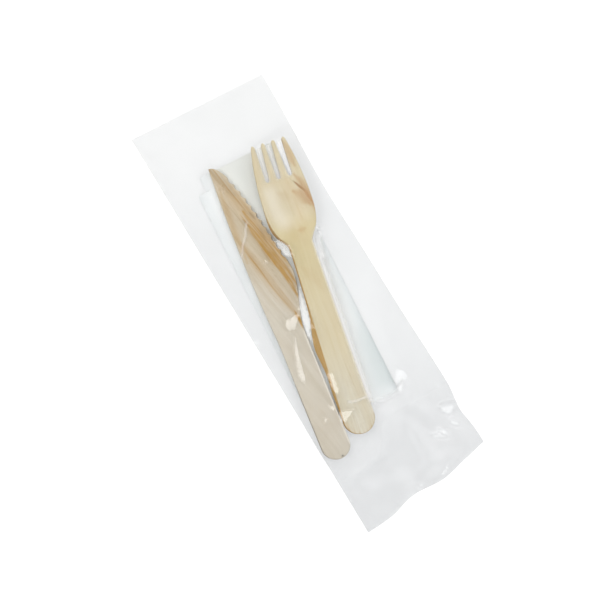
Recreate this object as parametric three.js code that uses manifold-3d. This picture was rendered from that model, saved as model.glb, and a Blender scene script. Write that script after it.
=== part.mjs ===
// A clear film sleeve with a wooden knife, a wooden fork and a folded paper napkin in it.
// Millimetres, +Z up. The sleeve lies on its back: X runs across it, Y along it to the welded end.
import * as THREE from "three";
import { mergeVertices } from "three/addons/utils/BufferGeometryUtils.js";
import Module from "manifold-3d";

const wasm = await Module();
wasm.setup();

// Clearances
const SEAT_GAP = 0.3; // between pieces that lie on each other
const SIDE_GAP = 0.5; // between the knife and the fork beside it

// Knife: flat, with a straight back and a scalloped cutting edge. Its lean is clockwise, in degrees.
const KNIFE_LENGTH = 165;
const KNIFE_THICKNESS = 1.7;
const KNIFE_EDGE_ROUND = 0.25;
const KNIFE_HANDLE_WIDTH = 15.1;
const KNIFE_BLADE_WIDTH = 21.5;
const KNIFE_BLADE_LENGTH = 64; // tip to the widest place
const KNIFE_HEEL_LENGTH = 34; // widest place to the handle
const KNIFE_HEEL_EASE = 13; // how far the heel's curve runs straight at its two ends
const KNIFE_TIP_SET = 0.6; // the tip lies this far in from the back
const KNIFE_EDGE_POWER = 0.49; // the blade's width grows as this power of the distance from the tip
const KNIFE_BACK_BOW = 1.2;
const KNIFE_LEAN = 8.8;
const TOOTH_PITCH = 4.5;
const TOOTH_DEPTH = 0.55;
const TOOTH_START = 8; // from the tip
const TOOTH_STOP = 3; // from the widest place

// Fork: one pressed sheet of wood. It leans as the knife does, and is rolled with its left side up.
const FORK_LENGTH = 159;
const FORK_THICKNESS = 1.7;
const FORK_END_WIDTH = 16.6;
const FORK_NECK_WIDTH = 12.5;
const FORK_HEAD_WIDTH = 25.9;
const FORK_HEAD_LENGTH = 56; // neck to the tips
const FORK_SHOULDER_LENGTH = 21; // neck to the widest place
const FORK_SHOULDER_NECK_EASE = 4;
const FORK_SHOULDER_HEAD_EASE = 16;
const FORK_SIDE_EASE = 18; // how far the head's sides run straight above the widest place
const FORK_TIP_SPAN = 18.6; // across the outer tines at their tips
const FORK_NECK_RISE = 3.5; // the neck above the bowl's lowest place
const FORK_DISH = 3.2; // the bowl's rim above its middle
const FORK_TIP_DISH = 1.2;
const FORK_TIP_RISE = 3;
const FORK_LEAN = 12.6;
const FORK_ROLL = 4;
const FORK_SET_BACK = 4; // how far its end lies above the knife's end
const TINE_COUNT = 4;
const TINE_LENGTH = 20;
const TINE_ROUND = 1.3;
const SLOT_MOUTH = 3.5;
const SLOT_ROOT = 2;
const SLOT_ROOT_PITCH = 6.1;

// Napkin: one sheet folded to and fro. Its lower left corner is placed from the knife's end.
const NAPKIN_WIDTH = 48;
const NAPKIN_LENGTH = 145;
const NAPKIN_LEAF = 0.4; // one folded leaf of several plies
const NAPKIN_LEAF_GAP = 0.1;
const NAPKIN_STEP_WIDTH = 5; // the corner where the leaves are set back
const NAPKIN_STEP_LENGTH = 8.5;
const NAPKIN_LEAN = 4.5;
const NAPKIN_LEFT = 3.5;
const NAPKIN_UP = 17.5;

// Film sleeve: margins run from what it holds to its folds, its weld and its mouth.
const FILM = 0.2;
const LEFT_MARGIN = 1.6;
const RIGHT_MARGIN = 7.6;
const WELD_MARGIN = 37.2;
const MOUTH_MARGIN = 40.8;
const WELD_WIDTH = 3;
const WELD_SLANT = 6; // how much lower the weld's right end lies
const FILM_SLACK = 0.3; // between the two films where nothing lies between them
const FILM_SLOPE = 0.55; // how steeply the film falls away beside what it covers

// The mouth's edge from left to right: share of the width, and rise above the lowest corner.
const MOUTH_EDGE = [
  [0, 0],
  [0.21, 1.3],
  [0.37, 4.5],
  [0.65, 4],
  [0.83, 7],
  [1, 9.7],
];

// Places where the right fold is drawn in: distance above the mouth, depth and reach.
const RIGHT_DENTS = [
  [165, 2.4, 40],
  [100, 1.4, 40],
  [31, 1.8, 9],
];

// Ridges of the loose film: two ends measured from the left fold and the mouth, height and reach.
const FILM_RIDGES = [
  [65, 37, 73, 33, 3, 9],
  [27, 2, 28, 20, 1.6, 9],
  [54, 26, 63, 12, 1.4, 8],
];

// Fineness of the meshes
const CURVE_STEPS = 12;
const TOOTH_STEPS = 6;
const BOWL_COLUMNS = 12;
const BOWL_ROWS = 20;
const HANDLE_ROWS = 4;
const FILM_COLUMNS = 22;
const FILM_ROWS = 70;
const PROBE_STEP = 1.5;
const SHARP_ANGLE = 30;
const LIFT_ROUNDS = 4;

const napkinThickness = 3 * NAPKIN_LEAF + 2 * NAPKIN_LEAF_GAP;
const napkinFloor = FILM + SEAT_GAP;
const cutleryFloor = napkinFloor + napkinThickness + SEAT_GAP;

const wood = { roughness: 0.75, metalness: 0 };
const materials = {
  film_sleeve: new THREE.MeshStandardMaterial({
    color: 0xf2f4f5,
    roughness: 0.12,
    metalness: 0,
    transparent: true,
    opacity: 0.25,
  }),
  napkin: new THREE.MeshStandardMaterial({ color: 0xecedee, roughness: 0.95, metalness: 0 }),
  knife: new THREE.MeshStandardMaterial({ color: 0xd0c3a8, ...wood }),
  fork: new THREE.MeshStandardMaterial({ color: 0xd8cca6, ...wood }),
};

// A geometry with nothing but merged positions, as a solid that can be cut.
function solidOf(geometry) {
  geometry.deleteAttribute("normal");
  geometry.deleteAttribute("uv");
  const merged = mergeVertices(geometry);
  const mesh = new wasm.Mesh({
    numProp: 3,
    vertProperties: merged.attributes.position.array,
    triVerts: new Uint32Array(merged.index.array),
  });
  return new wasm.Manifold(mesh);
}

function geometryOf(solid) {
  const mesh = solid.getMesh();
  const geometry = new THREE.BufferGeometry();
  geometry.setAttribute("position", new THREE.BufferAttribute(mesh.vertProperties, 3));
  geometry.setIndex(new THREE.BufferAttribute(mesh.triVerts, 1));
  geometry.computeVertexNormals();
  return geometry;
}

function namedMesh(name, geometry) {
  const mesh = new THREE.Mesh(geometry, materials[name]);
  mesh.name = name;
  return mesh;
}

function clockwise(degrees) {
  return -THREE.MathUtils.degToRad(degrees);
}

// Knife, drawn with its back along Y and its round end at the origin's level.
function cuttingEdge(fromTip) {
  const grown = (fromTip / KNIFE_BLADE_LENGTH) ** KNIFE_EDGE_POWER;
  return KNIFE_TIP_SET + (KNIFE_BLADE_WIDTH - KNIFE_TIP_SET) * grown;
}

function knifeOutline() {
  const endRadius = KNIFE_HANDLE_WIDTH / 2;
  const widest = KNIFE_LENGTH - KNIFE_BLADE_LENGTH;
  const heel = widest - KNIFE_HEEL_LENGTH;
  const teeth = Math.floor((KNIFE_BLADE_LENGTH - TOOTH_START - TOOTH_STOP) / TOOTH_PITCH);
  const outline = new THREE.Shape();
  outline.moveTo(0, endRadius);
  outline.absarc(endRadius, endRadius, endRadius, Math.PI, 2 * Math.PI);
  outline.lineTo(KNIFE_HANDLE_WIDTH, heel);
  outline.bezierCurveTo(
    KNIFE_HANDLE_WIDTH,
    heel + KNIFE_HEEL_EASE,
    KNIFE_BLADE_WIDTH,
    widest - KNIFE_HEEL_EASE,
    KNIFE_BLADE_WIDTH,
    widest,
  );
  for (let step = teeth * TOOTH_STEPS; step >= 0; step--) {
    const fromTip = TOOTH_START + (step / TOOTH_STEPS) * TOOTH_PITCH;
    const bite = TOOTH_DEPTH * Math.abs(Math.sin((Math.PI * step) / TOOTH_STEPS));
    outline.lineTo(cuttingEdge(fromTip) - bite, KNIFE_LENGTH - fromTip);
  }
  for (let step = CURVE_STEPS - 1; step >= 0; step--) {
    const fromTip = TOOTH_START * (step / CURVE_STEPS) ** 2;
    outline.lineTo(cuttingEdge(fromTip), KNIFE_LENGTH - fromTip);
  }
  outline.quadraticCurveTo(-2 * KNIFE_BACK_BOW, (KNIFE_LENGTH + heel) / 2, 0, heel);
  return outline;
}

function makeKnife() {
  const geometry = new THREE.ExtrudeGeometry(knifeOutline(), {
    depth: KNIFE_THICKNESS - 2 * KNIFE_EDGE_ROUND,
    curveSegments: CURVE_STEPS,
    bevelThickness: KNIFE_EDGE_ROUND,
    bevelSize: KNIFE_EDGE_ROUND,
    bevelOffset: -KNIFE_EDGE_ROUND,
    bevelSegments: 1,
  });
  geometry.translate(0, 0, KNIFE_EDGE_ROUND);
  const knife = namedMesh("knife", geometry);
  knife.rotation.z = clockwise(KNIFE_LEAN);
  knife.position.z = cutleryFloor;
  return knife;
}

// Fork, drawn about its middle line with its round end at the origin.
const forkNeck = FORK_LENGTH - FORK_HEAD_LENGTH;
const forkWidest = forkNeck + FORK_SHOULDER_LENGTH;

function forkOutline() {
  const endRadius = FORK_END_WIDTH / 2;
  const neck = FORK_NECK_WIDTH / 2;
  const head = FORK_HEAD_WIDTH / 2;
  const tip = FORK_TIP_SPAN / 2;
  const tipLine = FORK_LENGTH - TINE_ROUND;
  const tineWidth = (FORK_TIP_SPAN - (TINE_COUNT - 1) * SLOT_MOUTH) / TINE_COUNT;
  const rootRadius = SLOT_ROOT / 2;
  const rootLine = FORK_LENGTH - TINE_LENGTH + rootRadius;
  const outline = new THREE.Shape();
  outline.moveTo(-endRadius, endRadius);
  outline.absarc(0, endRadius, endRadius, Math.PI, 2 * Math.PI);
  outline.lineTo(neck, forkNeck);
  outline.bezierCurveTo(
    neck,
    forkNeck + FORK_SHOULDER_NECK_EASE,
    head,
    forkWidest - FORK_SHOULDER_HEAD_EASE,
    head,
    forkWidest,
  );
  outline.quadraticCurveTo(head, forkWidest + FORK_SIDE_EASE, tip, tipLine);
  for (let tine = 0; tine < TINE_COUNT; tine++) {
    const right = tip - tine * (tineWidth + SLOT_MOUTH);
    const left = right - tineWidth;
    outline.quadraticCurveTo((right + left) / 2, FORK_LENGTH + TINE_ROUND, left, tipLine);
    if (tine < TINE_COUNT - 1) {
      const root = ((TINE_COUNT - 2) / 2 - tine) * SLOT_ROOT_PITCH;
      outline.lineTo(root + rootRadius, rootLine);
      outline.absarc(root, rootLine, rootRadius, 0, -Math.PI, true);
      outline.lineTo(left - SLOT_MOUTH, tipLine);
    }
  }
  outline.quadraticCurveTo(-head, forkWidest + FORK_SIDE_EASE, -head, forkWidest);
  outline.bezierCurveTo(
    -head,
    forkWidest - FORK_SHOULDER_HEAD_EASE,
    -neck,
    forkNeck + FORK_SHOULDER_NECK_EASE,
    -neck,
    forkNeck,
  );
  outline.lineTo(-endRadius, endRadius);
  return outline;
}

// Height of the fork's underside at a place across and along it.
function forkForm(across, along) {
  const { smoothstep, lerp } = THREE.MathUtils;
  const sideways = (across / (FORK_HEAD_WIDTH / 2)) ** 2;
  const towardsTip = Math.max(0, (along - forkWidest) / (FORK_LENGTH - forkWidest));
  const pressed = smoothstep(along, forkNeck, forkWidest);
  const handle = FORK_NECK_RISE * Math.min(1, along / forkNeck) * (1 - pressed);
  const dish = lerp(FORK_DISH, FORK_TIP_DISH, towardsTip) * pressed * sideways;
  return handle + dish + FORK_TIP_RISE * towardsTip ** 2;
}

function makeFork() {
  const rows = HANDLE_ROWS + BOWL_ROWS;
  const trim = 1; // the sheet reaches this far past the outline
  const width = FORK_HEAD_WIDTH + 2 * trim;
  const sheet = new THREE.BoxGeometry(width, rows, FORK_THICKNESS, BOWL_COLUMNS, rows, 1);
  const places = sheet.attributes.position;
  for (let k = 0; k < places.count; k++) {
    const row = Math.round(places.getY(k) + rows / 2);
    const handleRow = (row / HANDLE_ROWS) * (forkNeck + trim) - trim;
    const bowlRow = forkNeck + ((row - HANDLE_ROWS) / BOWL_ROWS) * (FORK_HEAD_LENGTH + trim);
    const along = row < HANDLE_ROWS ? handleRow : bowlRow;
    const lift = forkForm(places.getX(k), along) + FORK_THICKNESS / 2;
    places.setXYZ(k, places.getX(k), along, places.getZ(k) + lift);
  }
  const height = FORK_NECK_RISE + FORK_DISH + FORK_TIP_RISE + FORK_THICKNESS;
  const blank = new THREE.ExtrudeGeometry(forkOutline(), {
    depth: 3 * height,
    curveSegments: CURVE_STEPS,
    bevelEnabled: false,
  });
  blank.translate(0, 0, -height);
  const fork = namedMesh("fork", geometryOf(solidOf(sheet).intersect(solidOf(blank))));
  fork.rotation.order = "ZYX";
  fork.rotation.set(0, -clockwise(FORK_ROLL), clockwise(FORK_LEAN));
  return fork;
}

// Moves the fork beside the knife until the nearest places of their outlines leave the side gap.
function layBeside(fork, knife) {
  const spacing = 1;
  const points = (outline) => outline.getSpacedPoints(Math.ceil(outline.getLength() / spacing));
  knife.updateMatrixWorld();
  fork.position.set(0, FORK_SET_BACK, 0);
  fork.updateMatrixWorld();
  const place = new THREE.Vector3();
  const knifeEdge = points(knifeOutline()).map((p) =>
    place.set(p.x, p.y, 0).applyMatrix4(knife.matrixWorld).clone(),
  );
  let shift = -Infinity;
  for (const p of points(forkOutline())) {
    for (const level of [0, FORK_THICKNESS]) {
      place.set(p.x, p.y, forkForm(p.x, p.y) + level).applyMatrix4(fork.matrixWorld);
      for (const edge of knifeEdge) {
        if (Math.abs(edge.y - place.y) < spacing) shift = Math.max(shift, edge.x - place.x);
      }
    }
  }
  fork.position.x = shift + SIDE_GAP;
  fork.updateMatrixWorld();
  fork.position.z = cutleryFloor - new THREE.Box3().setFromObject(fork, true).min.z;
}

// Napkin: the section of a sheet folded to and fro into three leaves, drawn out along the folds.
function napkinSection() {
  const pitch = NAPKIN_LEAF + NAPKIN_LEAF_GAP;
  const outer = NAPKIN_LEAF + NAPKIN_LEAF_GAP / 2;
  const inner = NAPKIN_LEAF_GAP / 2;
  const rightFold = NAPKIN_WIDTH - outer;
  const section = new THREE.Shape();
  section.moveTo(NAPKIN_WIDTH, 0);
  section.lineTo(NAPKIN_WIDTH, NAPKIN_LEAF);
  section.lineTo(outer, NAPKIN_LEAF);
  section.absarc(outer, outer, inner, -Math.PI / 2, -1.5 * Math.PI, true);
  section.lineTo(rightFold, pitch);
  section.absarc(rightFold, pitch + outer, outer, -Math.PI / 2, Math.PI / 2);
  section.lineTo(0, napkinThickness);
  section.lineTo(0, 2 * pitch);
  section.lineTo(rightFold, 2 * pitch);
  section.absarc(rightFold, pitch + outer, inner, Math.PI / 2, -Math.PI / 2, true);
  section.lineTo(outer, pitch + NAPKIN_LEAF);
  section.absarc(outer, outer, outer, Math.PI / 2, 1.5 * Math.PI);
  return section;
}

function makeNapkin() {
  const stack = new THREE.ExtrudeGeometry(napkinSection(), {
    depth: NAPKIN_LENGTH,
    curveSegments: CURVE_STEPS / 2,
    bevelEnabled: false,
  });
  stack.rotateX(Math.PI / 2);
  stack.translate(0, NAPKIN_LENGTH, 0);
  const step = new THREE.BoxGeometry(2 * NAPKIN_STEP_WIDTH, 2 * NAPKIN_STEP_LENGTH, 4 * napkinThickness);
  step.translate(0, NAPKIN_LENGTH, 0);
  const napkin = namedMesh("napkin", geometryOf(solidOf(stack).subtract(solidOf(step))));
  napkin.rotation.z = clockwise(NAPKIN_LEAN);
  napkin.position.set(NAPKIN_LEFT, NAPKIN_UP, napkinFloor);
  return napkin;
}

// Highest places of what the sleeve holds: along its sharp edges, and on a raster looked down on.
function probeContents(contents, box) {
  const probes = [];
  const edge = new THREE.Line3();
  for (const mesh of contents.children) {
    const ends = new THREE.EdgesGeometry(mesh.geometry, SHARP_ANGLE).attributes.position;
    for (let k = 0; k < ends.count; k += 2) {
      edge.start.fromBufferAttribute(ends, k);
      edge.end.fromBufferAttribute(ends, k + 1);
      edge.applyMatrix4(mesh.matrixWorld);
      const steps = Math.ceil(edge.distance() / PROBE_STEP);
      for (let step = 0; step <= steps; step++) probes.push(edge.at(step / steps, new THREE.Vector3()));
    }
  }
  const eye = new THREE.Vector3();
  const down = new THREE.Vector3(0, 0, -1);
  const caster = new THREE.Raycaster();
  for (let x = box.min.x; x <= box.max.x; x += PROBE_STEP) {
    for (let y = box.min.y; y <= box.max.y; y += PROBE_STEP) {
      caster.set(eye.set(x, y, box.max.z + 1), down);
      const hits = caster.intersectObjects(contents.children);
      if (hits.length) probes.push(hits[0].point);
    }
  }
  return probes;
}

// The sleeve's plan: a lattice between its left fold, right fold, mouth and weld.
function sleevePlan(box) {
  const left = box.min.x - LEFT_MARGIN;
  const right = box.max.x + RIGHT_MARGIN;
  const lowest = box.min.y - MOUTH_MARGIN;
  const highest = box.max.y + WELD_MARGIN;
  const width = right - left;
  const mouth = new THREE.SplineCurve(
    MOUTH_EDGE.map(([share, rise]) => new THREE.Vector2(left + share * width, lowest + rise)),
  );
  const mouthPoints = mouth.getSpacedPoints(FILM_COLUMNS);
  const rows = [];
  for (let j = 0; j <= FILM_ROWS; j++) {
    const row = [];
    for (let i = 0; i <= FILM_COLUMNS; i++) {
      const share = (mouthPoints[i].x - left) / width;
      const end = highest - WELD_SLANT * share;
      const welded = (end - WELD_WIDTH - mouthPoints[i].y) * (j / (FILM_ROWS - 1)) + mouthPoints[i].y;
      const y = j < FILM_ROWS ? welded : end;
      let fold = right;
      for (const [up, depth, reach] of RIGHT_DENTS) {
        fold -= depth * Math.exp(-(((y - lowest - up) / reach) ** 2));
      }
      row.push(new THREE.Vector3(left + share * (fold - left), y, 0));
    }
    rows.push(row);
  }
  return { rows, left, lowest };
}

// Height of the front film's inner face: slack film with ridges, raised over all that lies below.
function drapeFilm({ rows, left, lowest }, probes) {
  const lowestInner = FILM + FILM_SLACK;
  const place = new THREE.Vector3();
  const nearest = new THREE.Vector3();
  const line = new THREE.Line3();
  rows.slice(0, FILM_ROWS).forEach((row) => {
    for (const corner of row) {
      let height = lowestInner;
      for (const [x0, y0, x1, y1, rise, reach] of FILM_RIDGES) {
        line.start.set(left + x0, lowest + y0, 0);
        line.end.set(left + x1, lowest + y1, 0);
        line.closestPointToPoint(place.set(corner.x, corner.y, 0), true, nearest);
        height += rise * Math.max(0, 1 - place.distanceTo(nearest) / reach);
      }
      for (const probe of probes) {
        const away = Math.hypot(probe.x - corner.x, probe.y - corner.y);
        height = Math.max(height, probe.z + SEAT_GAP - FILM_SLOPE * away);
      }
      corner.z = height;
    }
  });
  const weights = new THREE.Vector3();
  for (let round = 0; round < LIFT_ROUNDS; round++) {
    for (const [a, b, c] of latticeTriangles(rows.slice(0, FILM_ROWS))) {
      const box = new THREE.Box2().setFromPoints([a, b, c]);
      for (const probe of probes) {
        if (!box.containsPoint(probe)) continue;
        const flat = [a, b, c].map((p) => new THREE.Vector3(p.x, p.y, 0));
        THREE.Triangle.getBarycoord(place.set(probe.x, probe.y, 0), ...flat, weights);
        if (Math.min(weights.x, weights.y, weights.z) < 0) continue;
        const covered = weights.x * a.z + weights.y * b.z + weights.z * c.z;
        const lift = Math.max(0, probe.z + SEAT_GAP - covered);
        for (const corner of [a, b, c]) corner.z += lift;
      }
    }
  }
}

function latticeTriangles(rows) {
  const triangles = [];
  for (let j = 0; j < rows.length - 1; j++) {
    for (let i = 0; i < rows[j].length - 1; i++) {
      triangles.push([rows[j][i], rows[j][i + 1], rows[j + 1][i + 1]]);
      triangles.push([rows[j][i], rows[j + 1][i + 1], rows[j + 1][i]]);
    }
  }
  return triangles;
}

// A flat panel inside the lattice's rim: a band above the mouth up to a straight row, a fan at each
// end, and long strips between them.
function panelTriangles(rows) {
  const last = rows.length - 1;
  const side = FILM_COLUMNS;
  const straight = rows[1].map((_, i) => rows[1][0].clone().lerp(rows[1][side], i / side));
  const triangles = latticeTriangles([rows[0], straight]);
  for (let i = 0; i < side; i++) {
    triangles.push([rows[2][0], straight[i], straight[i + 1]]);
    triangles.push([rows[last - 1][0], rows[last][i + 1], rows[last][i]]);
  }
  triangles.push([rows[2][0], rows[1][side], rows[2][side]]);
  triangles.push([rows[last - 1][0], rows[last - 1][side], rows[last][side]]);
  for (let j = 2; j < last - 1; j++) {
    triangles.push([rows[j][0], rows[j][side], rows[j + 1][side]]);
    triangles.push([rows[j][0], rows[j + 1][side], rows[j + 1][0]]);
  }
  return triangles;
}

// The ribbon between two lines of points that run side by side.
function ribbonTriangles(upper, lower) {
  return latticeTriangles([lower, upper]);
}

function turned(triangles) {
  return triangles.map(([a, b, c]) => [a, c, b]);
}

function makeSleeve(contents) {
  const box = new THREE.Box3().setFromObject(contents, true);
  const plan = sleevePlan(box);
  drapeFilm(plan, probeContents(contents, box));
  const innerTop = plan.rows.slice(0, FILM_ROWS);
  const outerTop = plan.rows.map((row) => row.map((p) => p.clone()));
  outerTop.forEach((row, j) => {
    for (const p of row) p.z = j < FILM_ROWS ? p.z + FILM : 2 * FILM;
  });
  for (const row of innerTop) {
    row[0].x += FILM;
    row[FILM_COLUMNS].x -= FILM;
  }
  const outerBack = outerTop.map((row) => row.map((p) => new THREE.Vector3(p.x, p.y, 0)));
  const innerBack = innerTop.map((row) => row.map((p) => new THREE.Vector3(p.x, p.y, FILM)));
  const column = (rows, i) => rows.map((row) => row[i]);
  const rim = (top, back) => [...top, ...[...back].reverse(), top[0]];
  const end = FILM_ROWS;
  const wall = FILM_ROWS - 1;
  const triangles = [
    ...latticeTriangles(outerTop),
    ...turned(panelTriangles(outerBack)),
    ...turned(latticeTriangles(innerTop)),
    ...panelTriangles(innerBack),
    ...turned(ribbonTriangles(column(outerTop, 0), column(outerBack, 0))),
    ...ribbonTriangles(column(outerTop, FILM_COLUMNS), column(outerBack, FILM_COLUMNS)),
    ...ribbonTriangles(column(innerTop, 0), column(innerBack, 0)),
    ...turned(ribbonTriangles(column(innerTop, FILM_COLUMNS), column(innerBack, FILM_COLUMNS))),
    ...turned(ribbonTriangles(outerTop[end], outerBack[end])),
    ...ribbonTriangles(innerTop[wall], innerBack[wall]),
    ...ribbonTriangles(rim(outerTop[0], outerBack[0]), rim(innerTop[0], innerBack[0])),
  ];
  const geometry = new THREE.BufferGeometry().setFromPoints(triangles.flat());
  geometry.computeVertexNormals();
  return namedMesh("film_sleeve", geometry);
}

const knife = makeKnife();
const fork = makeFork();
layBeside(fork, knife);
const contents = new THREE.Group();
contents.add(makeNapkin(), knife, fork);
contents.updateMatrixWorld(true);
const sleeve = makeSleeve(contents);

// The origin is the middle of the sleeve's box, on the surface it lies on.
const kit = new THREE.Group();
kit.add(contents, sleeve);
const middle = new THREE.Box3().setFromObject(sleeve, true).getCenter(new THREE.Vector3());
kit.position.set(-middle.x, -middle.y, 0);

export default kit;
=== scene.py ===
import math

import bpy
import numpy as np
from mathutils import Euler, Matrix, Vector
from mathutils.bvhtree import BVHTree
from mathutils.geometry import delaunay_2d_cdt


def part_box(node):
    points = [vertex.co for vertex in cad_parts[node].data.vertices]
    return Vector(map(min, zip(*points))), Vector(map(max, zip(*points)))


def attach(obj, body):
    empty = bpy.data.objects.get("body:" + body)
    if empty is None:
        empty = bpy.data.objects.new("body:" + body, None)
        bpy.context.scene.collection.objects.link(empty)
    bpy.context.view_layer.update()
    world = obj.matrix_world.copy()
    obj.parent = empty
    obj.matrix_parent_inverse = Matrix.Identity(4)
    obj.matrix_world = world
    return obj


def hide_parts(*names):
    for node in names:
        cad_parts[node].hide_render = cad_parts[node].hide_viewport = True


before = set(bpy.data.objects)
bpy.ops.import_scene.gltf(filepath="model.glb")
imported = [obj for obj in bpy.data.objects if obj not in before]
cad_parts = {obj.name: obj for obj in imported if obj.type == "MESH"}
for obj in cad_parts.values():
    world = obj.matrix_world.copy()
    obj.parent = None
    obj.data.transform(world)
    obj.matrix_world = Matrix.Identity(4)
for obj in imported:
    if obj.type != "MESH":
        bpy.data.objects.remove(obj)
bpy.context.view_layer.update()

# Lengths are in millimetres up to the point where a mesh is made
MM = 0.001
WOOD = 1.7
FAR, BELOW_ALL = 1e9, -1e3


# Curves, each without its last point
def line(start, stop, step=1.0):
    count = max(1, math.ceil(math.dist(start, stop) / step))
    t = np.arange(count)[:, None] / count
    return np.array(start, float) * (1 - t) + np.array(stop, float) * t


def bezier(*points, steps=24):
    t = np.arange(steps)[:, None] / steps
    rows = [np.array(p, float)[None] for p in points]
    while len(rows) > 1:
        rows = [a * (1 - t) + b * t for a, b in zip(rows, rows[1:])]
    return rows[0]


def arc(middle, radius, start, stop, steps=24):
    a = np.radians(np.linspace(start, stop, steps, endpoint=False))
    return np.column_stack((middle[0] + radius * np.cos(a), middle[1] + radius * np.sin(a)))


def smoothstep(x, low, high):
    t = np.clip((x - low) / (high - low), 0, 1)
    return t * t * (3 - 2 * t)


# A bell that is 1 at no distance and dies out beyond its reach
def bell(away, reach):
    return np.exp(-((away / reach) ** 2))


# The places of points by a polyline: distance from it, and share of its length
def along_path(points, x, y):
    points = np.array(points, float)
    lengths = np.hypot(*np.diff(points, axis=0).T)
    run = np.concatenate(([0], np.cumsum(lengths)))
    best = np.full(np.shape(x), FAR)
    share = np.zeros(np.shape(x))
    for a, b, start, length in zip(points, points[1:], run, lengths):
        d = (b - a) / length
        t = np.clip((x - a[0]) * d[0] + (y - a[1]) * d[1], 0, length)
        away = np.hypot(x - a[0] - t * d[0], y - a[1] - t * d[1])
        nearer = away < best
        best = np.where(nearer, away, best)
        share = np.where(nearer, (start + t) / run[-1], share)
    return best, share


# Knife outline: back along x = 0, round end at y = 0, tip at y = 165
KNIFE_HANDLE = 15.1


def knife_outline():
    length, handle, blade, widest, heel, ease = 165, KNIFE_HANDLE, 21.5, 101, 67, 13
    tip_set, power, back_bow, nose_steps = 0.6, 0.49, -2.4, 24
    depth, pitch, first, teeth, fine = 1.1, 4.5, 8, 11, 10

    def edge(from_tip):
        return tip_set + (blade - tip_set) * (from_tip / (length - widest)) ** power

    step = np.arange(teeth * fine, -1, -1)
    from_tip = first + step / fine * pitch
    bite = depth * np.abs(np.sin(np.pi * step / fine))
    nose = first * (np.arange(nose_steps - 1, -1, -1) / nose_steps) ** 2
    lowest_tooth = first + teeth * pitch
    plain = np.linspace(length - widest, lowest_tooth, 5, endpoint=False)
    return np.vstack(
        (
            arc((handle / 2, handle / 2), handle / 2, 180, 360, 36),
            line((handle, handle / 2), (handle, heel)),
            bezier((handle, heel), (handle, heel + ease), (blade, widest - ease), (blade, widest), steps=36),
            np.column_stack((edge(plain), length - plain)),
            np.column_stack((edge(from_tip) - bite, length - from_tip)),
            np.column_stack((edge(nose), length - nose)),
            bezier((tip_set, length), (back_bow, (length + heel) / 2), (0, heel), steps=90)[1:],
            line((0, heel), (0, handle / 2)),
        )
    )


# Fork outline about its middle line, round end at y = 0
FORK_LENGTH, FORK_NECK, FORK_WIDEST, FORK_HALF = 159, 103, 124, 12.95
FORK_END, SLOT_PITCH = 8.3, 6.1
NECK_RISE, DISH, DISH_LOSS, TIP_LIFT = 3.5, 3.2, 2, 3


def fork_outline():
    end, neck, tip, tip_line, root_line, crown = FORK_END, 6.25, 9.3, 157.7, 140, 160.3
    mouth, root = 3.5, 1
    tine = (2 * tip - 3 * mouth) / 4
    shoulder = [
        (neck, FORK_NECK),
        (neck, FORK_NECK + 4),
        (FORK_HALF, FORK_WIDEST - 16),
        (FORK_HALF, FORK_WIDEST),
    ]
    side = [(FORK_HALF, FORK_WIDEST), (FORK_HALF, FORK_WIDEST + 18), (tip, tip_line)]
    parts = [arc((0, end), end, 180, 360, 40), line((end, end), (neck, FORK_NECK))]
    parts += [bezier(*shoulder, steps=32), bezier(*side, steps=36)]
    for k in range(4):
        right = tip - k * (tine + mouth)
        left = right - tine
        parts.append(bezier((right, tip_line), ((right + left) / 2, crown), (left, tip_line), steps=10))
        if k < 3:
            x = (1 - k) * SLOT_PITCH
            parts.append(line((left, tip_line), (x + root, root_line)))
            parts.append(arc((x, root_line), root, 0, -180, 10))
            parts.append(line((x - root, root_line), (left - mouth, tip_line)))
    mirrored = [[(-x, y) for x, y in reversed(curve)] for curve in (side, shoulder)]
    parts += [bezier(*mirrored[0], steps=36), bezier(*mirrored[1], steps=32)]
    parts.append(line((-neck, FORK_NECK), (-end, end)))
    return np.vstack(parts)


# Height of the fork's underside
def fork_form(across, along):
    to_tip = np.maximum(0, (along - FORK_WIDEST) / (FORK_LENGTH - FORK_WIDEST))
    pressed = smoothstep(along, FORK_NECK, FORK_WIDEST)
    handle = NECK_RISE * np.minimum(1, along / FORK_NECK) * (1 - pressed)
    dish = (DISH - DISH_LOSS * to_tip) * pressed * (across / FORK_HALF) ** 2
    return handle + dish + TIP_LIFT * to_tip**2


# How far an underside lies to the left of the upper face, along the piece. Where it lies far out, the dark
# cut edge shows from above as a band that is partly the cut edge's own colour and partly painted shade beside
# the pieces
def knife_slant(along):
    return 0.45 - 0.55 * smoothstep(along, 30, 62)


def fork_slant(along):
    # The broad band along the middle of the fork's handle is painted shade in the gap beside the knife, as
    # well as cut edge
    wide = 2.9 * bell(along - 50, 13) + 0.8 * bell(along - 24, 10)
    wide += 0.8 * bell(along - 111, 8)
    return 0.5 - 0.4 * smoothstep(along, 116, 132) + wide


# Whether points lie within a closed ring
def inside(ring, x, y):
    odd = np.zeros(x.shape, bool)
    for (ax, ay), (bx, by) in zip(ring, np.roll(ring, -1, axis=0)):
        if ay != by:
            odd ^= ((ay > y) != (by > y)) & (x < ax + (y - ay) * (bx - ax) / (by - ay))
    return odd


# Faces between rings of corners that are numbered ring after ring
def hoops(count, rings):
    faces = []
    for k in range(rings - 1):
        a = k * count + np.arange(count)
        b = k * count + np.roll(np.arange(count), -1)
        faces += np.column_stack((a, b, b + count, a + count)).tolist()
    return faces


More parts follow.
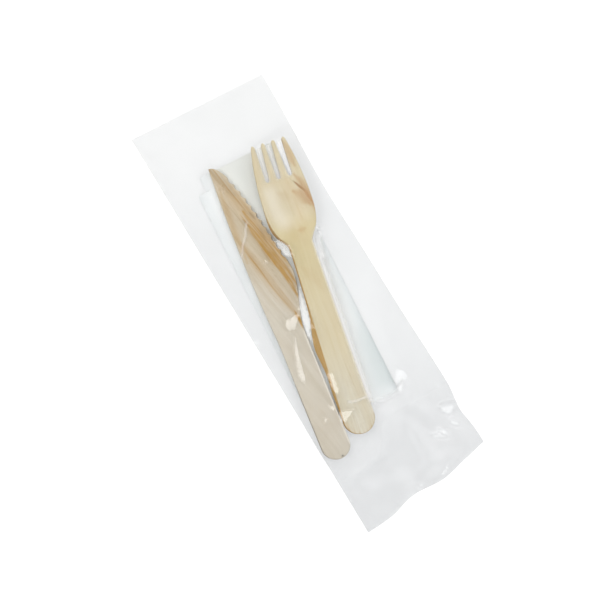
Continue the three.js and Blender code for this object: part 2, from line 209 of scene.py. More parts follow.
# A plate with rounded edges and a slanting cut edge, whose corners the last list returned marks with 1
def plate(outline, thickness, form, rounding, spacing, slant):
    land, rounds, shrink, least_run = 0.2, 60, 0.85, 0.5
    row_share, rim_gap, merge = 0.87, 0.45, 1e-6
    ahead, behind = np.roll(outline, -1, axis=0), np.roll(outline, 1, axis=0)
    run = (ahead - behind) / np.hypot(*(ahead - behind).T)[:, None]
    normal = np.column_stack((run[:, 1], -run[:, 0]))
    bend = rounding * (1 - math.sqrt(0.5))
    lower = [(rounding + land, 0), (rounding, 0), (bend, bend), (0, rounding)]
    rim = lower + [(inset, thickness - z) for inset, z in reversed(lower)]
    count = len(outline)
    room = np.ones(count)
    for _ in range(rounds):
        ring = outline - normal * (lower[0][0] * room)[:, None]
        kept = ((np.roll(ring, -1, axis=0) - ring) * (ahead - outline)).sum(1)
        tight = kept < least_run * ((ahead - outline) ** 2).sum(1)
        if not tight.any():
            break
        room[tight | np.roll(tight, 1) | np.roll(tight, -1) | np.roll(tight, 2)] *= shrink
    rings = [outline - normal * (inset * room)[:, None] for inset, _ in rim]
    corners = [np.column_stack((r, form(*r.T) + z)) for r, (_, z) in zip(rings, rim)]
    for ring, (_, z) in zip(corners, rim):
        ring[:, 0] -= slant(ring[:, 1]) * (1 - z / thickness)
    faces = hoops(count, len(rim))
    ring = rings[0]
    low, high = ring.min(0), ring.max(0)
    rows = np.arange(low[1], high[1], spacing * row_share)
    grid = [
        (x, y)
        for j, y in enumerate(rows)
        for x in np.arange(low[0] + (j % 2) * spacing / 2, high[0], spacing)
    ]
    x, y = np.array(grid).T
    away, _ = along_path(np.vstack((ring, ring[:1])), x, y)
    kept = inside(ring, x, y) & (away > rim_gap * spacing)
    inner = np.column_stack((x, y))[kept]
    flat = [Vector(p) for p in np.vstack((ring, inner)).tolist()]
    edges = [(k, (k + 1) % count) for k in range(count)]
    found = delaunay_2d_cdt(flat, edges, [], 1, merge)
    first = [origin[0] for origin in found[3]]
    triangles = np.array([[first[k] for k in face] for face in found[2]])
    level = form(*inner.T)
    start = len(rim) * count
    corners.append(np.column_stack((inner[:, 0] - slant(inner[:, 1]), inner[:, 1], level)))
    corners.append(np.column_stack((inner, level + thickness)))
    for ring_start, inner_start, turn in ((0, start, -1), (start - count, start + len(inner), 1)):
        index = np.where(triangles < count, triangles + ring_start, triangles - count + inner_start)
        faces += index[:, ::turn].tolist()
    side = np.zeros(start + 2 * len(inner))
    for k in range(2, len(rim) - 2):
        side[k * count : (k + 1) * count] = 1
    return np.vstack(corners), faces, side


def make_object(name, corners, faces, attributes=None):
    mesh = bpy.data.meshes.new(name)
    mesh.from_pydata((np.asarray(corners) * MM).tolist(), [], faces)
    for key, values in (attributes or {}).items():
        mesh.attributes.new(key, "FLOAT", "POINT").data.foreach_set("value", np.asarray(values, np.float32))
    mesh.shade_smooth()
    mesh.update()
    piece = bpy.data.objects.new(name, mesh)
    bpy.context.scene.collection.objects.link(piece)
    return piece


# Turns a piece, centres its box on its node's box and stands it on that box's floor
def settle(piece, node, turn):
    piece.rotation_euler = turn
    spin = np.array(turn.to_matrix())
    co = np.array([v.co for v in piece.data.vertices]) @ spin.T
    low, high = (np.array(corner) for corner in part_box(node))
    middle = (low + high) / 2 - (co.min(0) + co.max(0)) / 2
    piece.location = (middle[0], middle[1], low[2] - co[:, 2].min())
    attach(piece, "root")
    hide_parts(node)


# A piece's corners in the part's frame
def placed(piece):
    matrix = np.array(piece.matrix_world)
    co = np.array([v.co for v in piece.data.vertices])
    return (co @ matrix[:3, :3].T + matrix[:3, 3]) / MM


# Materials
def add_node(tree, kind, inputs=None, **settings):
    made = tree.nodes.new("ShaderNode" + kind)
    for key, value in settings.items():
        setattr(made, key, value)
    for key, value in (inputs or {}).items():
        if isinstance(value, bpy.types.NodeSocket):
            tree.links.new(value, made.inputs[key])
        else:
            made.inputs[key].default_value = value
    return made


def new_material(name):
    material = bpy.data.materials.new(name)
    material.use_nodes = True
    tree = material.node_tree
    tree.nodes.clear()
    return material, tree, add_node(tree, "OutputMaterial")


# One step of arithmetic
def calc(tree, kind, a, b, clamp=False):
    return add_node(tree, "Math", {0: a, 1: b}, operation=kind, use_clamp=clamp).outputs[0]


def mixed(tree, share, a, b, blend="MIX"):
    made = add_node(tree, "Mix", data_type="RGBA", blend_type=blend)
    for key, value in ((0, share), (6, a), (7, b)):
        if isinstance(value, bpy.types.NodeSocket):
            tree.links.new(value, made.inputs[key])
        else:
            made.inputs[key].default_value = value if key == 0 else (*value, 1)
    return made.outputs[2]


# A colour multiplied by a tint, by a share
def tinted(tree, share, body, tint):
    return mixed(tree, share, body, mixed(tree, 1.0, body, tint, "MULTIPLY"))


# Straight from first at low to last at high
def spread(tree, value, first, last, low=0.0, high=1.0):
    return add_node(tree, "MapRange", {0: value, 1: low, 2: high, 3: first, 4: last}).outputs[0]


# Smoothly from 0 at low to 1 at high
def ramp(tree, value, low, high):
    span = {0: value, 1: low, 2: high, 3: 0.0, 4: 1.0}
    return add_node(tree, "MapRange", span, interpolation_type="SMOOTHSTEP").outputs[0]


def noise(tree, coordinates, scale, detail=2.0, rough=0.5):
    stretched = add_node(tree, "VectorMath", {0: coordinates, 1: scale}, operation="MULTIPLY").outputs[0]
    return add_node(
        tree, "TexNoise", {"Vector": stretched, "Scale": 1.0, "Detail": detail, "Roughness": rough}
    ).outputs[0]


def attribute(tree, name):
    return add_node(tree, "Attribute", attribute_name=name).outputs["Fac"]


BUMP_DEPTH = 0.0002


def bumped(tree, height, strength):
    relief = {"Strength": strength, "Distance": BUMP_DEPTH, "Height": height}
    return add_node(tree, "Bump", relief).outputs[0]


# Pale veneer with grain, bands and pores along the grain; stains, tones and a painted highlight come from the
# mesh
WARM_TINT, CLOUD_TINT, GRAIN_TINT = (0.94, 0.915, 0.78), (0.93, 0.9, 0.86), (0.72, 0.64, 0.52)
PORE, PAINTED_HIGHLIGHT, KNOT = (0.33, 0.2, 0.1), (0.88, 0.84, 0.76), (0.03, 0.028, 0.026)


def wood(name, pale, deep, stain, tone, edge, slant, strength):
    material, tree, output = new_material(name)
    place = add_node(tree, "TexCoord").outputs["Object"]
    turned = {"Vector": place, "Rotation": (0, 0, math.radians(slant))}
    grain = add_node(tree, "Mapping", turned).outputs[0]
    sway = calc(tree, "SUBTRACT", noise(tree, grain, (60, 18, 60)), 0.5)
    drift = add_node(tree, "CombineXYZ", {0: calc(tree, "MULTIPLY", sway, 0.006)}).outputs[0]
    bent = add_node(tree, "VectorMath", {0: grain, 1: drift}, operation="ADD").outputs[0]
    fine = noise(tree, bent, (2600, 55, 900), 3.0, 0.6)
    bands = noise(tree, bent, (420, 11, 200), 3.0, 0.55)
    figure = noise(tree, bent, (1100, 26, 500), 3.0, 0.6)
    pores = ramp(tree, noise(tree, bent, (4200, 330, 2000), 1.0), 0.62, 0.75)
    cloud = noise(tree, place, (70, 45, 70), 3.0)

    # Ground colour
    toned = attribute(tree, "tone")
    banded = calc(tree, "MULTIPLY", ramp(tree, bands, 0.3, 0.72), spread(tree, toned, 1.0, 0.6))
    body = mixed(tree, banded, pale, deep)
    body = tinted(tree, toned, body, tone)
    body = tinted(tree, attribute(tree, "warm"), body, WARM_TINT)
    body = tinted(tree, ramp(tree, cloud, 0.45, 0.8), body, CLOUD_TINT)

    # Crisp stains, frayed by the grain, and soft smudges
    loose = calc(tree, "MULTIPLY", calc(tree, "SUBTRACT", fine, 0.5), 0.9)
    for field, weight in ((bands, 0.8), (figure, 1.5)):
        part = calc(tree, "MULTIPLY", calc(tree, "SUBTRACT", field, 0.5), weight)
        loose = calc(tree, "ADD", loose, part)
    mark = attribute(tree, "stain")
    crisp = ramp(tree, calc(tree, "ADD", mark, loose), 0.3, 0.8)
    stained = calc(tree, "MULTIPLY", crisp, ramp(tree, mark, 0.05, 0.8), True)
    patchy = spread(tree, noise(tree, bent, (500, 120, 300), 3.0, 0.6), 0.62, 1.08, 0.3, 0.7)
    body = mixed(tree, calc(tree, "MULTIPLY", stained, patchy, True), body, stain)
    uneven = calc(tree, "ADD", bands, calc(tree, "MULTIPLY", figure, 0.6))
    soft = calc(tree, "MULTIPLY", attribute(tree, "smudge"), calc(tree, "ADD", 0.3, uneven))
    body = mixed(tree, soft, body, stain)

    # Grain lines, pores, cut edge, painted highlight, ticks round the handle's end and dark spots
    calm = spread(tree, toned, 0.4 * strength, 0.16 * strength)
    lines = calc(tree, "MULTIPLY", ramp(tree, fine, 0.38, 0.72), calm)
    body = tinted(tree, lines, body, GRAIN_TINT)
    body = mixed(tree, calc(tree, "MULTIPLY", pores, calm), body, PORE)
    rim = calc(tree, "MULTIPLY", attribute(tree, "side"), calc(tree, "ADD", 0.55, fine), True)
    body = mixed(tree, rim, body, edge)
    # Painted highlight from the pale attribute: a pale line along a right edge, and a painted sheen on the
    # fork's bowl
    body = mixed(tree, attribute(tree, "pale"), body, PAINTED_HIGHLIGHT)
    ticks = calc(tree, "MULTIPLY", attribute(tree, "tip"), ramp(tree, figure, 0.47, 0.62))
    body = mixed(tree, calc(tree, "MULTIPLY", ticks, 0.8), body, edge)
    body = mixed(tree, attribute(tree, "knot"), body, KNOT)
    bump = bumped(tree, calc(tree, "SUBTRACT", fine, calc(tree, "MULTIPLY", pores, 0.6)), 0.22)
    rough = spread(tree, fine, 0.55, 0.75)
    shader = add_node(
        tree,
        "BsdfPrincipled",
        {"Base Color": body, "Roughness": rough, "Normal": bump, "Specular IOR Level": 0.3},
    )
    tree.links.new(shader.outputs[0], output.inputs[0])
    return material


# Soft tissue with fine fibres and faint pressed dots; its painted shade along the right edge and on its upper
# part comes from the mesh
PAPER_GREY, PAPER_WHITE, FIBRE = (0.835, 0.86, 0.86), (0.91, 0.925, 0.925), (0.74, 0.76, 0.77)
PAINTED_EDGE_SHADE, PAINTED_UPPER_SHADE = (0.775, 0.81, 0.805), (0.885, 0.876, 0.835)


def tissue(name):
    material, tree, output = new_material(name)
    place = add_node(tree, "TexCoord").outputs["Object"]
    fibres = noise(tree, place, (1500, 900, 1500), 4.0, 0.65)
    cloud = noise(tree, place, (60, 60, 60), 2.0)
    pattern = {"Vector": place, "Scale": 900.0, "Randomness": 0.15}
    dots = add_node(tree, "TexVoronoi", pattern).outputs["Distance"]
    body = mixed(tree, cloud, PAPER_GREY, PAPER_WHITE)
    body = mixed(tree, calc(tree, "MULTIPLY", fibres, 0.25), body, FIBRE)
    # Painted shade along the right edge, from the mark attribute
    body = tinted(tree, attribute(tree, "mark"), body, PAINTED_EDGE_SHADE)
    body = tinted(tree, attribute(tree, "painted_shade"), body, PAINTED_UPPER_SHADE)
    bump = bumped(tree, calc(tree, "ADD", fibres, calc(tree, "MULTIPLY", dots, 0.5)), 0.25)
    shader = add_node(
        tree,
        "BsdfPrincipled",
        {"Base Color": body, "Roughness": 0.95, "Normal": bump, "Specular IOR Level": 0.15},
    )
    tree.links.new(shader.outputs[0], output.inputs[0])
    return material


# Thin clear film: it mirrors little and lets the rest through, and sharp creases scatter light. The same
# milky white is painted light over the slots between the tines and beside the fork's neck and handle
FILM_DIM, FILM_BRIGHT, FILM_MILK = (0.951, 0.954, 0.955), (0.961, 0.963, 0.964), (0.93, 0.93, 0.93, 1)
LOW_PAINTED_SHADE, HIGH_PAINTED_LIGHT = (0.99, 0.99, 0.991), (1.009, 1.008, 1.007)


def clear_film(name):
    material, tree, output = new_material(name)
    place = add_node(tree, "TexCoord").outputs["Object"]
    bump = bumped(tree, noise(tree, place, (110, 60, 110), 1.0, 0.5), 0.3)
    turned = add_node(tree, "LayerWeight", {"Blend": 0.5, "Normal": bump}).outputs["Facing"]
    mirror = spread(tree, calc(tree, "POWER", turned, 5.0), 0.03, 1.0)
    tint = mixed(tree, noise(tree, place, (45, 25, 45), 3.0), FILM_DIM, FILM_BRIGHT)
    along = add_node(tree, "SeparateXYZ", {0: place}).outputs[1]
    # Painted shade towards the film's lower end and painted light towards its upper end, in the tint of what
    # passes through
    tint = mixed(tree, ramp(tree, along, -0.035, -0.095), tint, LOW_PAINTED_SHADE, "MULTIPLY")
    tint = mixed(tree, ramp(tree, along, 0.03, 0.1), tint, HIGH_PAINTED_LIGHT, "MULTIPLY")
    through = add_node(tree, "BsdfTransparent", {"Color": tint}).outputs[0]
    rough = spread(tree, attribute(tree, "facet"), 0.45, 0.09)
    shiny = {"Color": (1, 1, 1, 1), "Roughness": rough, "Normal": bump}
    gloss = add_node(tree, "BsdfGlossy", shiny).outputs[0]
    clear = add_node(tree, "MixShader", {0: mirror, 1: through, 2: gloss}).outputs[0]
    milky = add_node(tree, "BsdfDiffuse", {"Color": FILM_MILK}).outputs[0]
    whole = add_node(tree, "MixShader", {0: attribute(tree, "crease"), 1: clear, 2: milky}).outputs[0]
    tree.links.new(whole, output.inputs[0])
    return material


# Strength of soft bands along polylines, each given by its points, half width and strength
def painted(bands, x, y):
    found = np.zeros(len(x))
    for points, half, strength in bands:
        away, share = along_path(points, x, y)
        ends = smoothstep(share, 0, 0.35) * smoothstep(1 - share, 0, 0.35)
        wide = half * (0.3 + 0.7 * ends)
        found = np.maximum(found, strength * bell(away, wide))
    return found


# Strength of the ticks round a handle's end: full at the rim, and dying out inwards
TICK_DEPTH = 1.2


def round_end(x, y, middle, radius):
    inward = radius - np.hypot(x - middle, np.minimum(y, radius) - radius)
    return np.exp(-np.maximum(0, inward) / TICK_DEPTH)


# Knife, whose underside is flat
KNIFE_TURN = Euler((0, 0, math.radians(-8.8)))
corners, faces, side = plate(
    knife_outline(), WOOD, lambda x, y: 0 * x, rounding=0.25, spacing=0.5, slant=knife_slant
)
x, y = corners[:, 0], corners[:, 1]
streaks = [
    ([(7, 137), (8.6, 130), (10.4, 122), (12.4, 113), (14.4, 104.5)], 1.0, 0.85),
    ([(9, 138), (10.8, 129), (12.2, 122), (13.6, 116), (15.2, 109), (16.4, 102), (17.2, 95)], 3.6, 0.83),
    ([(12.2, 131), (14.8, 121), (17.6, 110), (19.4, 100), (20.4, 92)], 2.9, 0.67),
    ([(15.4, 107), (16.9, 100), (18, 94), (18.6, 86)], 2.0, 0.68),
    ([(1.6, 124), (4.2, 112), (7.4, 100), (10.8, 89.5), (14.4, 79)], 2.8, 0.48),
    ([(3.4, 117), (6.4, 106), (10, 95), (13.4, 84)], 0.6, 0.4),
    ([(5.8, 112), (9, 102), (12.4, 91), (14.6, 83)], 0.5, 0.45),
    ([(2.6, 164), (5.4, 154), (8.6, 145), (12, 135), (14, 128)], 1.9, 0.5),
    ([(1.6, 160), (4, 150), (7, 141)], 0.6, 0.5),
    ([(2.2, 165), (5.6, 157.5), (8.6, 151), (10.6, 145)], 1.4, 0.42),
    ([(14.2, 80), (15, 73), (15.4, 66)], 1.0, 1.0),
]
shades = [
    ([(0.6, 164), (4, 154), (8, 143), (13, 128), (17, 110), (19, 95)], 3.8, 0.36),
    ([(1, 126), (4.4, 112), (8.1, 99), (12.4, 85), (17, 70)], 2.9, 0.33),
    ([(2.2, 156), (1.2, 140), (0.9, 126), (1, 112)], 1.7, 0.34),
    ([(0.4, 104), (3.5, 92), (7.2, 80)], 0.8, 0.08),
]
darks = [
    ([(0.8, 164.5), (4.2, 156), (8, 147.5)], 2.6, 0.15),
    ([(7.2, 134), (8.6, 129.5)], 0.6, 0.3),
    ([(11.6, 137), (13.4, 131.5)], 0.6, 0.3),
    ([(13.6, 128.5), (14, 123), (14.3, 118.5)], 0.45, 0.22),
]
spot = bell(np.hypot(x - 8.8, y - 1.05), 0.5)
paint = {
    "stain": painted(streaks, x, y),
    "smudge": painted(shades, x, y),
    "tone": 1 - smoothstep(y + 1.6 * x, 97, 130),
    "side": side * (1 - 0.75 * smoothstep(y, 70, 100)),
    # Painted highlight along the right edge of the handle
    "pale": 0.85 * bell(x - 14.8, 0.55) * (1 - smoothstep(y, 64, 74)) * (1 - side),
    "tip": round_end(x, y, KNIFE_HANDLE / 2, KNIFE_HANDLE / 2) * (y < 7.5),
    "knot": np.maximum(painted(darks, x, y), spot),
}
knife = make_object("wooden_knife", corners, faces, paint)
knife.data.materials.append(
    wood(
        "knife_wood",
        pale=(0.64, 0.55, 0.407),
        deep=(0.54, 0.447, 0.305),
        stain=(0.455, 0.24, 0.02),
        tone=(1.045, 1.115, 1.265),
        edge=(0.5, 0.43, 0.33),
        slant=-16,
        strength=1.0,
    )
)
settle(knife, "knife", KNIFE_TURN)

# Fork
FORK_TURN = Euler((0, math.radians(4), math.radians(-12.6)))
corners, faces, side = plate(
    fork_outline(), WOOD, fork_form, rounding=0.3, spacing=0.55, slant=fork_slant
)
x, y = corners[:, 0], corners[:, 1]
streaks = [
    ([(5.5, 137.1), (8.3, 132.7), (10.5, 129.1), (11.7, 124.1), (12.8, 119.5)], 0.6, 1.5),
    ([(8.6, 136), (10.6, 131), (12.2, 125), (12.6, 119)], 1.2, 0.5),
]
shades = [
    ([(5, 130.6), (8.2, 127.8), (11.2, 121.6)], 3.8, 0.58),
    ([(7.8, 139), (10.2, 133.6), (12, 127.5), (12.6, 117)], 2.2, 0.5),
    ([(0.6, 110.4), (2.6, 110.2), (4.6, 110.5)], 1.8, 0.34),
    ([(-3, 132), (1, 129), (4, 127)], 3.2, 0.18),
    ([(-4, 92), (0, 86), (3, 78)], 2.6, 0.12),
    ([(3, 137), (5, 126), (4, 116)], 4.5, 0.14),
    ([(7, 158), (8.4, 150), (9.6, 143)], 2.4, 0.4),
]
darks = [
    ([(5.4, 137.2), (8.3, 132.7), (10.6, 129)], 0.4, 0.34),
    ([(-3, 133), (-1, 126), (1, 119)], 5, 0.05),
]
# Painted highlight along the right edge of the handle, and a painted sheen on the left of the bowl
rim = 0.5 * bell(along_path([(8.1, 9), (6.05, 103)], x, y)[0], 0.5)
painted_sheen = 0.36 * bell(along_path([(-7, 133), (-7, 124), (-5, 117)], x, y)[0], 4.2)
paint = {
    "stain": painted(streaks, x, y),
    "smudge": painted(shades, x, y),
    "tone": smoothstep(y, 12, 60),
    "warm": smoothstep(y, 58, 104) * (1 - smoothstep(y, 109, 121)),
    "side": side * (1 - 0.85 * smoothstep(y, 114, 126)),
    "pale": np.maximum(rim, painted_sheen) * (1 - side),
    "tip": round_end(x, y, 0, FORK_END) * (y < 8.2),
    "knot": np.maximum(painted(darks, x, y), 0.25 * side * bell(y - 111, 9)),
}
fork = make_object("wooden_fork", corners, faces, paint)
fork.data.materials.append(
    wood(
        "fork_wood",
        pale=(0.728, 0.683, 0.563),
        deep=(0.69, 0.625, 0.475),
        stain=(0.5, 0.28, 0.11),
        tone=(0.955, 0.895, 0.745),
        edge=(0.52, 0.31, 0.085),
        slant=-2,
        strength=0.9,
    )
)
settle(fork, "fork", FORK_TURN)

# Napkin: one sheet folded to and fro into twelve leaves, with a step in its upper left corner
NAPKIN_TURN = Euler((0, 0, math.radians(-4.5)))
LEAVES, LEAF, STACK = 12, 0.075, 1.4
PITCH = STACK / LEAVES
WIDE, LONG, STEP_WIDE, STEP_LONG, STEP_GAP = 48, 145, 5, 8.5, 0.15
INSET, LEFT_LEAN, RIGHT_LEAN, FOLD_OUT, LEAF_STEPS = 0.35, 4.5, 1.6, 0.3, 13


# The sheet's middle line across the stack, whose higher leaves draw in a little on both sides
def folded_line():
    points = []
    for k in range(LEAVES):
        z = (k + 0.5) * PITCH
        up = k / (LEAVES - 1)
        ends = [INSET + LEFT_LEAN * up**1.4, WIDE - INSET - RIGHT_LEAN * up**2]
        if k % 2 == 0:
            ends.reverse()
        points += [(ends[0] + (ends[1] - ends[0]) * t, z) for t in np.linspace(0, 1, LEAF_STEPS)]
        if k < LEAVES - 1:
            out = FOLD_OUT if ends[1] > WIDE / 2 else -FOLD_OUT
            points.append((ends[1] + out, z + PITCH / 2))
    return np.array(points)


middle_line = folded_line()
run = np.gradient(middle_line, axis=0)
run /= np.hypot(*run.T)[:, None]
offset = np.column_stack((-run[:, 1], run[:, 0])) * LEAF / 2
section = np.vstack((middle_line - offset, (middle_line + offset)[::-1]))
step_line = LONG - STEP_LONG
stations = np.concatenate((np.linspace(0, step_line, 40), np.linspace(step_line + STEP_GAP, LONG, 6)))
rows = []
for y in stations:
    stepped = STEP_WIDE if y > step_line else 0
    x = stepped + section[:, 0] * (WIDE - stepped) / WIDE
    rows.append(np.column_stack((x, np.full(len(x), y), section[:, 1])))
count = len(section)
faces = hoops(count, len(stations))
half = count // 2
for start, turn in ((0, -1), ((len(stations) - 1) * count, 1)):
    for k in range(half - 1):
        cap = [start + k, start + k + 1, start + count - 2 - k, start + count - 1 - k]
        faces.append(cap[::turn])
corners = np.vstack(rows)
x, y = corners[:, 0], corners[:, 1]

# Painted shade along the right edge, broader further down, and a warm painted shade on the upper part
reach = 2.8 + 7 * smoothstep(50 - y, 0, 32)
mark = bell(x - WIDE + 0.8, reach) * smoothstep(y, -2, 8) * (1 - 0.75 * smoothstep(y, 20, 66))
painted_shade = smoothstep(y, 92, 124) * smoothstep(x, 8, 16)
napkin = make_object("paper_napkin", corners, faces, {"mark": mark, "painted_shade": painted_shade})
napkin.data.set_sharp_from_angle(angle=math.radians(40))
napkin.data.materials.append(tissue("napkin_paper"))
settle(napkin, "napkin", NAPKIN_TURN)

# Soft boxes: heading, elevation, distance, width, length and power
BOXES = {
    "key": (-25, 37, 1.8, 0.9, 0.65, 8.6),
    "low": (-105, 37, 1.8, 0.9, 0.6, 7.6),
    "left": (146, 37, 1.8, 0.75, 0.5, 5.6),
    "top": (80, 33, 1.0, 0.56, 0.36, 3.8),
}

# The eye is straight above the part, so far up that a pixel spans PIXEL millimetres at the aim's level
LENS, SENSOR, PIXELS, PIXEL = 85, 36, 600, 0.52
AIM = (-5.85, 1.25, 2)
EYE = np.array((AIM[0], AIM[1], LENS / SENSOR * PIXELS * PIXEL + AIM[2]))


def box_place(name):
    heading, height, distance = BOXES[name][:3]
    a, e = math.radians(heading), math.radians(height)
    return distance * np.array((math.cos(a) * math.cos(e), math.sin(a) * math.cos(e), math.sin(e)))


# Film sleeve. Places read from the photograph are in a frame that lies this far from the part's.
SHIFT = np.array((0.45, -0.45))
FILM, CLEAR, SEAM = 0.08, 0.08, 0.06
COLUMNS, ROWS, WELD_ROWS = 100, 316, 4
MARGIN_LEFT, MARGIN_RIGHT, MARGIN_LOW, MARGIN_HIGH = 1.6, 7.6, 40.8, 37.2
MOUTH = [(0, 0), (0.21, 1.3), (0.37, 4.5), (0.65, 4), (0.83, 7), (1, 9.7)]
FOLD_DENTS = ((165, 2.4, 40), (100, 1.4, 40), (31, 1.8, 9))
WELD_DROP, WELD_WIDE = 6, 3.05
contents = [placed(piece) for piece in (napkin, knife, fork)]
low = np.min([np.array(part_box(node)[0]) for node in ("napkin", "knife", "fork")], 0) / MM
high = np.max([np.array(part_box(node)[1]) for node in ("napkin", "knife", "fork")], 0) / MM
left, right = low[0] - MARGIN_LEFT, high[0] + MARGIN_RIGHT
lowest, highest = low[1] - MARGIN_LOW, high[1] + MARGIN_HIGH


# A smooth curve through given heights, with even tangents
def through(points, at):
    px, py = np.array(points, float).T
    slope = np.gradient(py, px)
    k = np.clip(np.searchsorted(px, at) - 1, 0, len(px) - 2)
    wide = px[k + 1] - px[k]
    t = (at - px[k]) / wide
    return (
        (2 * t**3 - 3 * t**2 + 1) * py[k]
        + (t**3 - 2 * t**2 + t) * wide * slope[k]
        + (3 * t**2 - 2 * t**3) * py[k + 1]
        + (t**3 - t**2) * wide * slope[k + 1]
    )


share = np.linspace(0, 1, COLUMNS + 1)
mouth = lowest + through(MOUTH, share)
weld = highest - WELD_DROP * share
step = np.linspace(0, 1, ROWS + 1)[:, None]
Y = mouth + (weld - mouth) * step
fold = right - sum(depth * bell(Y - lowest - up, reach) for up, depth, reach in FOLD_DENTS)
X = left + share * (fold - left)

# What lies below each place of the film
corners = np.vstack(contents)
faces = []
start = 0
for piece, co in zip((napkin, knife, fork), contents):
    faces += [[start + k for k in polygon.vertices] for polygon in piece.data.polygons]
    start += len(co)
solid = BVHTree.FromPolygons(corners.tolist(), faces)
under = np.zeros(X.shape)
for j in range(ROWS + 1):
    for i in range(COLUMNS + 1):
        hit = solid.ray_cast(Vector((X[j, i], Y[j, i], 50)), Vector((0, 0, -1)))
        if hit[0] is not None:
            under[j, i] = hit[0].z


# A field moved by whole rows and columns
def shifted(field, dj, di, fill=0.0):
    out = np.full(field.shape, fill)
    height, width = field.shape
    out[max(0, dj) : height + min(0, dj), max(0, di) : width + min(0, di)] = field[
        max(0, -dj) : height + min(0, -dj), max(0, -di) : width + min(0, -di)
    ]
    return out


# A field blurred over its neighbours, round after round
def softened(field, rounds):
    for _ in range(rounds):
        padded = np.pad(field, 1, mode="edge")
        rows = padded[:-2] + 2 * padded[1:-1] + padded[2:]
        field = (rows[:, :-2] + 2 * rows[:, 1:-1] + rows[:, 2:]) / 16
    return field


highest_near = np.max([shifted(under, dj, di) for dj in (-1, 0, 1) for di in (-1, 0, 1)], axis=0)
floor_height = highest_near + np.where(highest_near > 0, CLEAR, 0)
across, down = (right - left) / COLUMNS, (highest - lowest) / ROWS


# Raises a field to the cones that fall from its own heights
def coned(field, slope, reach):
    raised = field.copy()
    high_steps, wide_steps = round(reach / down), round(reach / across)
    for dj in range(-high_steps, high_steps + 1):
        for di in range(-wide_steps, wide_steps + 1):
            fall = slope * math.hypot(dj * down, di * across)
            if fall <= slope * reach:
                raised = np.maximum(raised, shifted(field, dj, di, BELOW_ALL) - fall)
    return raised


# Over the fork's hollow the film is taut from the neck to the tips
spin = np.array(FORK_TURN.to_matrix())[:2, :2]
local = np.stack((X - fork.location.x / MM, Y - fork.location.y / MM), -1) @ np.linalg.inv(spin).T
fork_x, fork_y = np.moveaxis(local, -1, 0)
BOWL = np.array([(-6, 101), (6, 101), (12.5, 122), (9, 158), (-9, 158), (-12.5, 122)])
bowl = inside(BOWL, fork_x, fork_y)
tips = FORK_NECK + 53.5
neck_top, tip_top = (floor_height[bowl & (np.abs(fork_y - at) < 1.5)].max() for at in (FORK_NECK, tips))
taut = neck_top + (tip_top - neck_top) * (fork_y - FORK_NECK) / (tips - FORK_NECK)
held = np.where(bowl, np.maximum(taut, floor_height), floor_height)

# Slope and reach of the cones by which the film falls away from what holds it, gentler in the upper part
TOP, FALL, GENTLE, STEEP = (0.02, 5), (0.3, 13), (0.2, 12), (1.2, 8)
held = coned(held, *TOP)
drape = coned(coned(held, *FALL), *FALL)
gentle = coned(coned(coned(held, *GENTLE), *GENTLE), *GENTLE)
drape += (np.maximum(gentle, drape) - drape) * smoothstep(Y, 40, 64)
steep = coned(floor_height, *STEEP)

# Slack film: free waves that die out at the folds and the weld
WAVES, SLACK_EDGE, SLACK_RISE, WAVE_RISE = 14, 0.12, 0.75, 1.5
rng = np.random.default_rng(4)
waves = np.zeros(X.shape)
for _ in range(WAVES):
    length, angle, phase = rng.uniform(22, 60), rng.uniform(0, np.pi), rng.uniform(0, 2 * np.pi)
    waves += np.sin(2 * np.pi * (X * np.cos(angle) + Y * np.sin(angle)) / length + phase) / WAVES
to_fold = np.minimum(X - left, fold - X)
loose = smoothstep(to_fold, 0, 9) * smoothstep(weld - Y, 0, 14)
slack = SLACK_EDGE + loose * (SLACK_RISE + WAVE_RISE * waves)


# A crease: points of its ridge, its height, and its reach to the left of the way along it and to the right
def crease(points, height, left_reach, right_reach, taper=0.3):
    points = np.array(points, float) + SHIFT
    away, along = along_path(points, X, Y)
    turn = np.zeros(X.shape)
    best = np.full(X.shape, FAR)
    for a, b in zip(points, points[1:]):
        d = (b - a) / math.dist(a, b)
        t = np.clip((X - a[0]) * d[0] + (Y - a[1]) * d[1], 0, math.dist(a, b))
        gap = np.hypot(X - a[0] - t * d[0], Y - a[1] - t * d[1])
        sign = d[0] * (Y - a[1]) - d[1] * (X - a[0])
        turn = np.where(gap < best, sign, turn)
        best = np.minimum(best, gap)
    reach = np.where(turn > 0, left_reach, right_reach)
    ends = np.minimum(1, np.minimum(along, 1 - along) / taper)
    return height * ends * np.maximum(0, 1 - away / reach)


ridges = [
    crease([(-9, -100), (-10, -118)], 1.3, 7, 9),
    crease([(8.9, -75.8), (9.5, -88.1), (9.3, -103.8), (9.5, -113.2)], 1.1, 6, 5),
    crease([(-2.6, -74.2), (-6.8, -84.8), (-12.8, -97.0), (-19.3, -106.3)], 0.9, 7, 5),
    crease([(-2.8, -111.7), (6.0, -107.1), (22.6, -107.9)], 0.9, 5, 7),
    crease([(-32.4, -91.8), (-25.9, -103.0), (-13.6, -104.5)], 0.8, 6, 8),
    crease([(8.0, -68.7), (15.5, -75.9), (22.5, -90.6)], 0.8, 6, 6),
    crease([(-8.5, 51), (-12.5, 46), (-17.5, 41), (-22.5, 34.5)], 0.3, 0.8, 0.8),
    crease([(-13, -56), (-3, -59.5), (0, -64)], 0.35, 1.0, 1.2),
    crease([(-39, 11.5), (-30, 10.5)], 0.6, 2.4, 2.4),
    crease([(-20, 88), (-12, 84)], 0.5, 3, 3),
]

